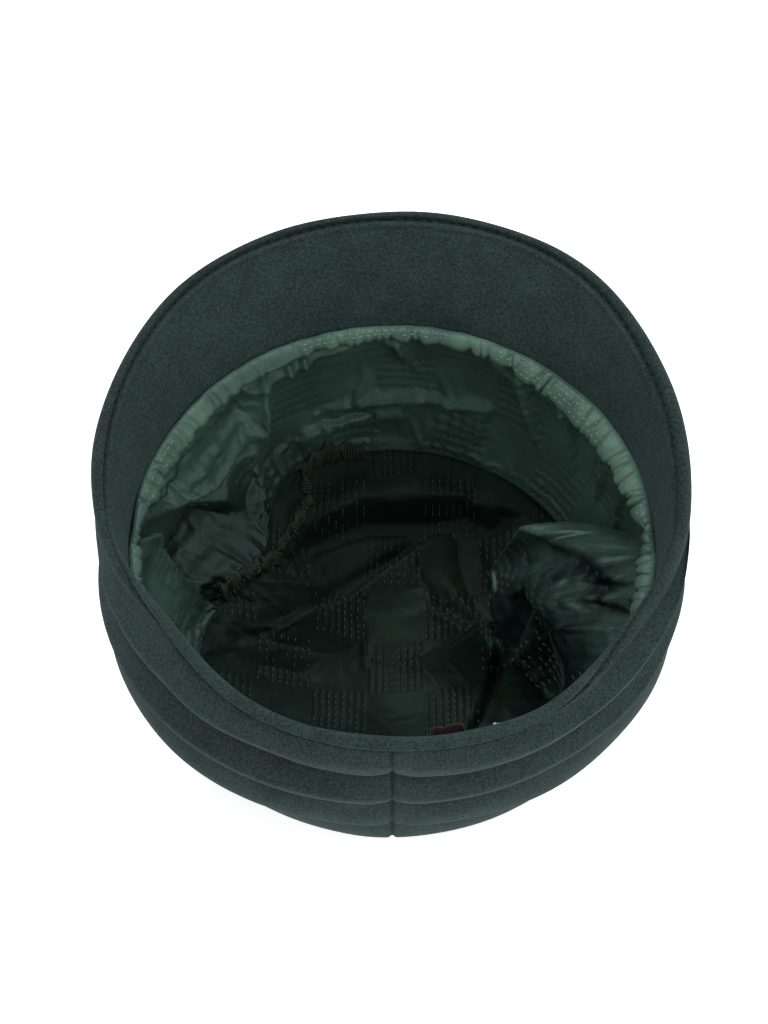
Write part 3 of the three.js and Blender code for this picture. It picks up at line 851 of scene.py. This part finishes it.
def floor_edge(angle):
    """Where the top lining meets the side: out and up round the head."""
    edge = side_sketch(angle, np.full(np.shape(angle), WALL_LENGTH - 1.0)) / MM
    length = head_length(np.cos(angle))
    reach = np.hypot(edge[..., 0] / HEAD_HALF_WIDTH, edge[..., 1] / length)
    # The floor reaches further out under the panel on the left, where it hangs off the wall.
    under_panel = 4 * bell((np.degrees(angle) - 272.5) / 3.5)
    return (reach - 1) * HEAD_HALF_WIDTH + 1.4 + under_panel, edge[..., 2] - HEAD_LINE - 0.2


edge_angles = np.linspace(0, TAU, 721)
edge_out, edge_up = floor_edge(edge_angles)


def floor_level(x, y):
    """The top lining's height without its folds, and how far in from its edge a point lies."""
    angle = np.arctan2(x / HEAD_HALF_WIDTH, y / head_length(y)) % TAU
    reach = reach_of(x, y) * HEAD_HALF_WIDTH
    edge = HEAD_HALF_WIDTH + np.interp(angle, edge_angles, edge_out)
    inward = np.clip(1 - reach / edge, 0, 1)
    levels = np.array(LINING_FLOOR)
    up = np.interp(inward, levels[:, 0], levels[:, 1])
    raised = np.interp(angle, edge_angles, edge_up) - LINING_FLOOR[0][1]
    up = up + raised * (1 - smoothstep(inward, 0, 0.12))
    return HEAD_LINE + up, inward


def floor_sketch(x, y):
    """A place on the top lining over a point of the plane."""
    level, inward = floor_level(x, y)
    settle = smoothstep(inward, 0.0, 0.22)
    lift = sum(fold(x, y, *row) for row in FLOOR_FOLDS)
    lift = lift + 0.5 * np.sin(x * 0.21 + 1.4 * np.sin(y * 0.07)) + 0.4 * np.sin(y * 0.17 + x * 0.05 + 1)
    return np.stack([x, y, level + lift * settle - 1.0 * bell(inward / 0.02)], axis=-1) * MM


def ring_place(angle, turn):
    """A place on the gathered edge: an angle round the head and a turn round its flattened tube."""
    sizes = np.array(RING_SIZES, dtype=float)
    size = np.interp(np.degrees(angle) % 360, sizes[:, 0], sizes[:, 1])
    wide = RING["wide"] * size + ripple(angle, 0, 0.25, 60, 9, 61)
    thick = RING["thick"] + ripple(angle, 1.5 * np.cos(turn), 0.12, 90, 9, 62)
    inner = 0.5 + 0.5 * np.cos(turn)
    for middle, depth, width, slant in PINCHES:
        away = degrees_from(angle, middle) * MM_PER_DEGREE - slant * 1.6 * inner
        thick = thick - depth * bell(away / width) + 0.3 * depth * bell(away / (3 * width))
        wide = wide - 0.8 * depth * bell(away / (1.6 * width)) * inner
    reach, height = wide * np.cos(turn), thick * np.sin(turn)
    lean = math.radians(RING["lean"])
    out = RING["out"] - (wide - RING["wide"] * 2.3) * 0.6 - reach * math.cos(lean) - height * math.sin(lean)
    up = RING["up"] + 0.3 * np.sin(7 * angle) - reach * math.sin(lean) + height * math.cos(lean)
    return place(angle, out, up)


def normals(surface, u, v, step_u, step_v):
    a = surface(u + step_u, v) - surface(u - step_u, v)
    b = surface(u, v + step_v) - surface(u, v - step_v)
    n = np.cross(a, b)
    return n / np.maximum(np.linalg.norm(n, axis=-1, keepdims=True), 1e-12)


SIDE_ROWS, SIDE_COLUMNS = 45, 361
sketch_down = np.linspace(0, WALL_LENGTH, SIDE_ROWS)[:, None]
sketched = side_sketch(np.linspace(0, TAU, SIDE_COLUMNS)[None, :], sketch_down)
held = np.zeros(sketched.shape[:2], dtype=bool)
held[0] = held[-2:] = True
side_settled = crumple(sketched, held, growth=0.045, stiff=0.15)


def kept_inside(places, slack):
    """The settled side lining, no further out than its wall's section plus the slack."""
    x, y, up = places[..., 0] / MM, places[..., 1] / MM, places[..., 2] / MM - HEAD_LINE
    reach = reach_of(x, y)
    limit = np.interp(-up, -wall[:, 1], wall[:, 0]) + slack
    over = np.maximum((reach - 1) * HEAD_HALF_WIDTH - limit, 0)
    factor = (reach * HEAD_HALF_WIDTH - over + 0.3 * (1 - np.exp(-over))) / (reach * HEAD_HALF_WIDTH)
    return places * np.stack([factor, factor, np.ones(factor.shape)], axis=-1)


side_settled = kept_inside(side_settled, 0.4)


def side_place(angle, down):
    """A place on the settled side lining."""
    return between(side_settled, down / WALL_LENGTH * (SIDE_ROWS - 1), angle / TAU * (SIDE_COLUMNS - 1))


round_head = np.linspace(0, TAU, 641)[None, :]
down_wall = np.linspace(0, WALL_LENGTH, 74)[:, None]
# Painted light and shade on the side satin, laid into its fold attribute.
side_painted_light = sum(amount * bell(degrees_from(round_head, middle) / spread) * bell((down_wall - down) / reach)
                 for middle, spread, down, reach, amount in SIDE_PAINTED_LIGHT)
lining_side = cloth("side_lining", side_place(round_head, down_wall), (HEAD_ROUND, WALL_LENGTH),
                    "lining_side", side_satin, SATIN, side_painted_light)


def floor_scale(p, q):
    """How far the edge of the top lining lies out, as a share of the head oval."""
    return (HEAD_HALF_WIDTH + np.interp(np.arctan2(p, q) % TAU, edge_angles, edge_out)) / HEAD_HALF_WIDTH


def drawn_in(s, t):
    """The top lining starts as a square of cloth that is drawn into the oval."""
    p, q = s * np.sqrt(1 - t * t / 2), t * np.sqrt(1 - s * s / 2)
    scale = floor_scale(p, q)
    return p * scale * HEAD_HALF_WIDTH, q * scale * head_length(q)


FLOOR_CELLS = 101
s, t = np.meshgrid(np.linspace(-1, 1, FLOOR_CELLS), np.linspace(-1, 1, FLOOR_CELLS))
held = (np.abs(s) == 1) | (np.abs(t) == 1)
floor_settled = crumple(floor_sketch(*drawn_in(s, t)), held, growth=0.02, stiff=0.5)
LARGEST_SAG = 4.5
lowest = floor_level(*drawn_in(s, t))[0] - LARGEST_SAG
floor_settled[..., 2] = np.maximum(floor_settled[..., 2], lowest * MM)


def floor_place(x, y):
    """A place on the settled top lining over a point of the flat cloth."""
    p, q = x / HEAD_HALF_WIDTH, y / head_length(y)
    scale = floor_scale(p, q)
    p, q = p / scale, q / scale
    skew = p * p - q * q
    s = (np.sqrt(2 + skew + math.sqrt(8) * p) - np.sqrt(2 + skew - math.sqrt(8) * p)) / 2
    t = (np.sqrt(2 - skew + math.sqrt(8) * q) - np.sqrt(2 - skew - math.sqrt(8) * q)) / 2
    return between(floor_settled, (t + 1) / 2 * (FLOOR_CELLS - 1), (s + 1) / 2 * (FLOOR_CELLS - 1))


fine = np.linspace(-1, 1, 201)
flat_cloth = np.stack(drawn_in(*np.meshgrid(fine, fine)), axis=-1)
cells = (fine + 1) / 2 * (FLOOR_CELLS - 1)
top_places = between(floor_settled, cells[:, None], cells[None, :])
lining_top = cloth("top_lining", top_places, flat_cloth.tolist(), "lining_top", floor_satin_shaded, SATIN)

tube = np.linspace(0, TAU, 25)[:, None]
around = np.linspace(0, TAU, 1321)[None, :]
lining_edge = cloth("gathered_edge", ring_place(around, tube), (HEAD_ROUND, 14), "lining_edge",
                    edge_satin_lit, 0.3)

# ---- stitches ------------------------------------------------------------------------------------

thread = Finish("thread", Base_Color=rgb(41, 54, 48), Roughness=0.4, Sheen_Weight=0.2).material
overlock_thread = Finish("overlock thread", Base_Color=rgb(44, 54, 47), Roughness=0.6).material
dark_thread = Finish("dark thread", Base_Color=rgb(20, 27, 27), Roughness=0.7).material


THREAD_RADIUS = 0.15


def stitches(name, surface, rows, radius, rise, finish):
    """Short threads on a surface. Rise: how far off it they lie, and the two steps that find its normal."""
    starts, ends = (np.array([row[k] for row in rows], dtype=float) for k in (0, 1))
    a, b = surface(starts[:, 0], starts[:, 1]), surface(ends[:, 0], ends[:, 1])
    middle = (starts + ends) / 2
    facing = normals(surface, middle[:, 0], middle[:, 1], *rise[1:])
    facing = facing * rise[0] * MM
    bm = bmesh.new()
    for tail, head in zip(a + facing, b + facing):
        tail, head = Vector(tail), Vector(head)
        aim = head - tail
        matrix = Matrix.Translation((tail + head) / 2) @ aim.to_track_quat("Z", "Y").to_matrix().to_4x4()
        bmesh.ops.create_cone(bm, cap_ends=True, segments=6, radius1=radius * MM, radius2=radius * MM,
                              depth=aim.length, matrix=matrix)
    for face in bm.faces:
        face.smooth = True
    return piece(name, bm, None, finish)


def running_rows(blocks, quilt, long, gap):
    """Running stitches in blocks (u0, v0, u1, v1); some have sunk into the cloth."""
    found = []
    sunk = np.random.default_rng(len(blocks))
    along_u = quilt["rows_along"]
    for u0, v0, u1, v1 in blocks:
        first, last = (u0, u1) if along_u else (v0, v1)
        low, high = (v0, v1) if along_u else (u0, u1)
        start = quilt["start"][1 if along_u else 0] + quilt["pitch"] / 2
        level = start + math.ceil((low - start) / quilt["pitch"]) * quilt["pitch"]
        while level < high:
            spot = first + 0.6
            while spot + long < last:
                if sunk.random() > 0.25:
                    ends = (spot, level), (spot + long, level)
                    found.append(ends if along_u else tuple(end[::-1] for end in ends))
                spot += long + gap
            level += quilt["pitch"]
    return found


def quilt_rows(quilt, columns, lines, low, high, long, gap):
    """The running stitches in every second block of a quilt, kept between two levels."""
    blocks = []
    for i in columns:
        for j in lines:
            if (i + j + quilt["odd"]) % 2 == 0:
                wide, tall = quilt["block"]
                u, v = quilt["start"][0] + i * wide, quilt["start"][1] + j * tall
                blocks.append((u, max(low, v), u + wide, min(high, v + tall)))
    return running_rows(blocks, quilt, long, gap)


on_side = lambda u, v: side_place(np.radians(u / MM_PER_DEGREE), v)
side_rows = quilt_rows(SIDE_QUILT, range(24), range(3), 2.0, 56.0, 1.7, 1.4)
side_threads = stitches("side_stitches", on_side, side_rows, THREAD_RADIUS, (-SATIN / 2 - 0.08, 0.3, 0.3),
                        thread)

floor_rows = quilt_rows(FLOOR_QUILT, range(-5, 4), range(-5, 4), -90, 90, 1.3, 1.3)


def inside_floor(x, y):
    angle = np.arctan2(x / HEAD_HALF_WIDTH, y / head_length(y)) % TAU
    edge = HEAD_HALF_WIDTH + np.interp(angle, edge_angles, edge_out)
    return reach_of(x, y) * HEAD_HALF_WIDTH < edge - 1.5


floor_rows = [row for row in floor_rows if inside_floor(*row[0]) and inside_floor(*row[1])]
top_threads = stitches("top_stitches", floor_place, floor_rows, THREAD_RADIUS, (SATIN / 2 + 0.08, 0.3, 0.3),
                       thread)

# The overlocked seam allowance that lies loose on the left: its path in plan.
ALLOWANCE_PATH = [(-10, 76), (-19.3, 75.2), (-27, 72.5), (-32, 68), (-31, 60), (-34, 51), (-38, 44),
                  (-43, 34), (-49, 26), (-56, 19), (-61.5, 15)]
ALLOWANCE = {"wide": 3.6, "rise": 0.6, "edge_wave": 0.6}

allowance_steps = np.arange(0, len(ALLOWANCE_PATH) - 1, 0.025)
plan = np.array(ALLOWANCE_PATH, dtype=float)[None, :, :]
plan = between(np.repeat(plan, 2, axis=0), np.zeros(len(allowance_steps)), allowance_steps)
drift = np.gradient(plan, axis=0)
beside_plan = np.stack([-drift[:, 1], drift[:, 0]], axis=-1) / np.linalg.norm(drift, axis=-1, keepdims=True)
graph = bpy.context.evaluated_depsgraph_get()
linings = [BVHTree.FromObject(obj, graph) for obj in (lining_side, lining_top)]


def lining_height(x, y):
    """The highest lining over a point of the plan."""
    start = Vector((x * MM, y * MM, (HEAD_LINE - 4) * MM))
    hits = [tree.ray_cast(start, Vector((0, 0, -1)))[0] for tree in linings]
    return max([hit.z for hit in hits if hit] + [0.0]) / MM


allowance_rows = []
for share in np.linspace(-0.5, 0.5, 7):
    wave = ALLOWANCE["edge_wave"] * np.sin(allowance_steps * 9 + 4 * share)
    spots = plan + beside_plan * (share * ALLOWANCE["wide"] + wave)[:, None]
    heights = np.array([lining_height(x, y) for x, y in spots])
    heights = np.convolve(np.pad(heights, 8, mode="edge"), np.full(17, 1 / 17), mode="valid")
    heights = heights + ALLOWANCE["rise"] + 0.35 * np.sin(allowance_steps * 7 + 6 * share)
    allowance_rows.append(np.column_stack([spots, heights]) * MM)
allowance_grid = np.array(allowance_rows)
allowance_length = walked(plan)[-1]
allowance_size = (allowance_length, ALLOWANCE["wide"])
allowance = cloth("seam_allowance", allowance_grid, allowance_size, None, seam_satin_shaded, 0.4)


def on_allowance(u, v):
    return between(allowance_grid, v, u / allowance_length * (len(allowance_steps) - 1))


overlock = []
for k, spot in enumerate(np.arange(1, allowance_length - 2, 0.8)):
    overlock.append(((spot, 0.4), (spot + 0.55, 5.6)))
    if k % 2:
        overlock.append(((spot + 0.5, 5.6), (spot + 1.2, 3.0)))
overlock_threads = stitches("seam_overlock", on_allowance, overlock, 0.2, (0.3, 0.3, 0.3), overlock_thread)

# Rows of stitches that show on the gathered edge: first and last degree, and the turns they lie at.
EDGE_ROWS = [(26, 62, (0.9, 1.35, 1.8, 2.25)), (281, 298, (1.2, 1.9)), (338, 372, (1.3, 1.8)),
             (74, 86, (1.2, 1.8))]
edge_rows = []
for first, last, at_turns in EDGE_ROWS:
    for k, at_turn in enumerate(at_turns):
        spots = np.arange(first * MM_PER_DEGREE + 0.9 * (k % 2), last * MM_PER_DEGREE, 2.7)
        edge_rows += [((spot, at_turn), (spot + 1.4, at_turn)) for spot in spots]
on_ring = lambda u, v: ring_place(np.radians(u / MM_PER_DEGREE), v)
bright_thread = Finish("bright thread", Base_Color=rgb(120, 142, 130), Roughness=0.4).material
edge_threads = stitches("edge_stitches", on_ring, edge_rows, THREAD_RADIUS, (0.08, 0.3, 0.1), bright_thread)

# The topstitching, in its groove round the brim.
GROOVE_STEP = 0.3
beside = stitch_line + np.arange(-2, 3)[:, None] * GROOVE_STEP
groove_face = brim_surface(beside, 0.0)
groove_face = place(angles[None, :], groove_face[..., 0], groove_face[..., 1])
groove_run = walked(groove_face[2] / MM)


def in_groove(u, v):
    return between(groove_face, 2 + v / GROOVE_STEP, np.interp(u, groove_run, np.arange(len(angles))))


TOPSTITCH = {"long": 3.1, "pitch": 4.1, "radius": 0.24}
starts = np.arange(1, groove_run[-1] - 4, TOPSTITCH["pitch"])
topstitches = [((u, 0), (u + TOPSTITCH["long"], 0)) for u in starts]
stitches("brim_stitches", in_groove, topstitches, TOPSTITCH["radius"], (0.1, 0.3, 0.2), dark_thread)

# ---- labels --------------------------------------------------------------------------------------


def tape_finish(name, deep, light):
    tape = Finish(name, Roughness=0.75, Specular_IOR_Level=0.2, Sheen_Weight=0.2)
    u, v = tape.across_and_along()
    ribs = tape.math("SINE", v * 18.0) * 0.5
    threads = tape.math("SINE", u * 30.0) * 0.5
    tone = tape.step(tape.noise(tape.where(), 900, 3), 0.35, 0.65)
    return tape.set(Base_Color=tape.mix(tone, deep, light), Normal=tape.bump(ribs * threads, 0.0002, 0.6))


def slip(name, node, across, size, heights, waves, finish):
    """A woven slip that stands from the gathered edge at the back."""
    (x0, y0, z0), (x1, y1, z1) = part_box(node)
    u = np.linspace(-0.5, 0.5, 25)[None, :]
    v = np.linspace(0, 1, 19)[:, None]
    tall = np.interp(u, np.linspace(-0.5, 0.5, len(heights)), heights)
    wave = waves * v * (np.sin(9 * u + 5 * v) + 0.5 * np.sin(21 * u))
    forward = (y1 - y0) / MM * 0.75 * v * v + wave
    x = across + size * u * (1 - 0.12 * v * v) + 0.5 * waves * v * np.cos(7 * u + 3 * v)
    grid = np.stack(np.broadcast_arrays(x * MM, y0 + (1.2 + forward) * MM, z0 + (tall * v) * MM), axis=-1)
    return cloth(name, grid, (size, max(heights)), node, finish, 0.35)


burgundy = tape_finish("burgundy tape", rgb(32, 18, 17), rgb(50, 27, 25))
white = tape_finish("white tape", rgb(176, 176, 168), rgb(212, 212, 205))
slip("woven_label", "label", 17.2, 12, (12.4, 13.4, 14.2, 15.4, 16.0, 15.2), 0.35, burgundy)
slip("woven_tab", "size_tab", 33.5, 3.2, (9.2, 9.8, 9.0), 0.3, white)

# ---- stage ---------------------------------------------------------------------------------------

bm = bmesh.new()
bmesh.ops.create_grid(bm, x_segments=1, y_segments=1, size=4)
bmesh.ops.translate(bm, verts=bm.verts, vec=(0, 0, cad_low[2]))
floor = shown_mesh("floor", bm)
pale = Finish("pale floor", Base_Color=(0.9, 0.9, 0.9, 1), Roughness=0.9, Emission_Color=(1, 1, 1, 1),
              Emission_Strength=0.65)
floor.data.materials.append(pale.material)

world = bpy.data.worlds.new("studio")
world.use_nodes = True
world.node_tree.nodes["Background"].inputs["Color"].default_value = (1, 1, 1, 1)
world.node_tree.nodes["Background"].inputs["Strength"].default_value = 0.55
bpy.context.scene.world = world

AIM = Vector((0, 0, HEAD_LINE * MM))


def soft_light(name, place_at, size, power):
    data = bpy.data.lights.new(name, "AREA")
    data.shape = "DISK"
    data.size = size
    data.energy = power
    light = shown(name, data)
    light.location = place_at
    light.rotation_euler = (AIM - Vector(place_at)).to_track_quat("-Z", "Y").to_euler()


soft_light("key", (-0.35, 0.75, 1.5), 0.9, 14.5)
soft_light("side fill", (1.1, -1.0, 0.9), 1.2, 9)
soft_light("right light", (1.0, 0.45, 1.1), 0.6, 3.5)

bpy.context.scene.view_settings.view_transform = "Standard"

camera_data = bpy.data.cameras.new("camera")
camera_data.sensor_width = 36
camera_data.lens = 93.7
camera_data.shift_x = -0.008
camera_data.shift_y = 0.036
camera = shown("camera", camera_data)
ELEVATION = math.radians(58)
EYE_DISTANCE = 0.9
camera.location = AIM + EYE_DISTANCE * Vector((0, -math.cos(ELEVATION), math.sin(ELEVATION)))
camera.rotation_euler = (math.pi / 2 - ELEVATION, 0, 0)
bpy.context.scene.camera = camera
